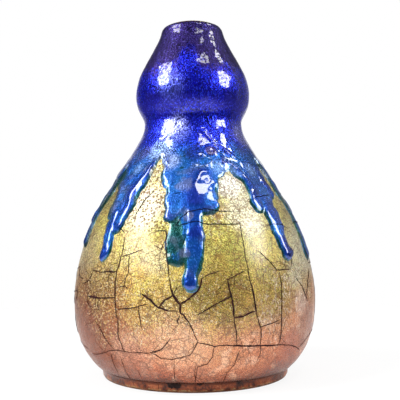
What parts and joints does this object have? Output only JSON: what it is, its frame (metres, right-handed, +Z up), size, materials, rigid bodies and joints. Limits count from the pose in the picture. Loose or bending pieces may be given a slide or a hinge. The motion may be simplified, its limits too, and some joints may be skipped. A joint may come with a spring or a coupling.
{
  "type": "double-gourd vase",
  "caption": "Round double-gourd vase in enamelled copper, with a narrow open mouth, a full belly on a low foot ring, and thick runs of cobalt glass over a crackled gold ground.",
  "frame": {"origin": "centre of the bounding box's bottom face, which is the centre of the circle that the foot ring stands on", "axes": "+Z up along the vase's own axis, -Y towards the side that the picture shows, +X to that side's right"},
  "size_m": [0.1364, 0.1391, 0.2],
  "materials": {
    "bare_copper": "oxidised, satin",
    "braze": "satin",
    "foil_enamel": "gloss",
    "rose_enamel": "gloss",
    "cobalt_enamel": "gloss",
    "lining_enamel": "gloss"
  },
  "bodies": {
    "root": {"copper_body": "bare_copper", "foot_ring": "bare_copper", "braze_fillet": "braze", "glass_lining": "lining_enamel", "underside_enamel": "lining_enamel", "gold_rose_coat": "foil_enamel", "foot_coat": "rose_enamel", "cobalt_coat": "cobalt_enamel", "front_runs": "cobalt_enamel", "right_runs": "cobalt_enamel", "far_right_runs": "cobalt_enamel", "rear_right_runs": "cobalt_enamel", "back_right_runs": "cobalt_enamel", "back_runs": "cobalt_enamel", "back_left_runs": "cobalt_enamel", "rear_left_runs": "cobalt_enamel", "far_left_runs": "cobalt_enamel", "left_runs": "cobalt_enamel"}
  },
  "joints": []
}
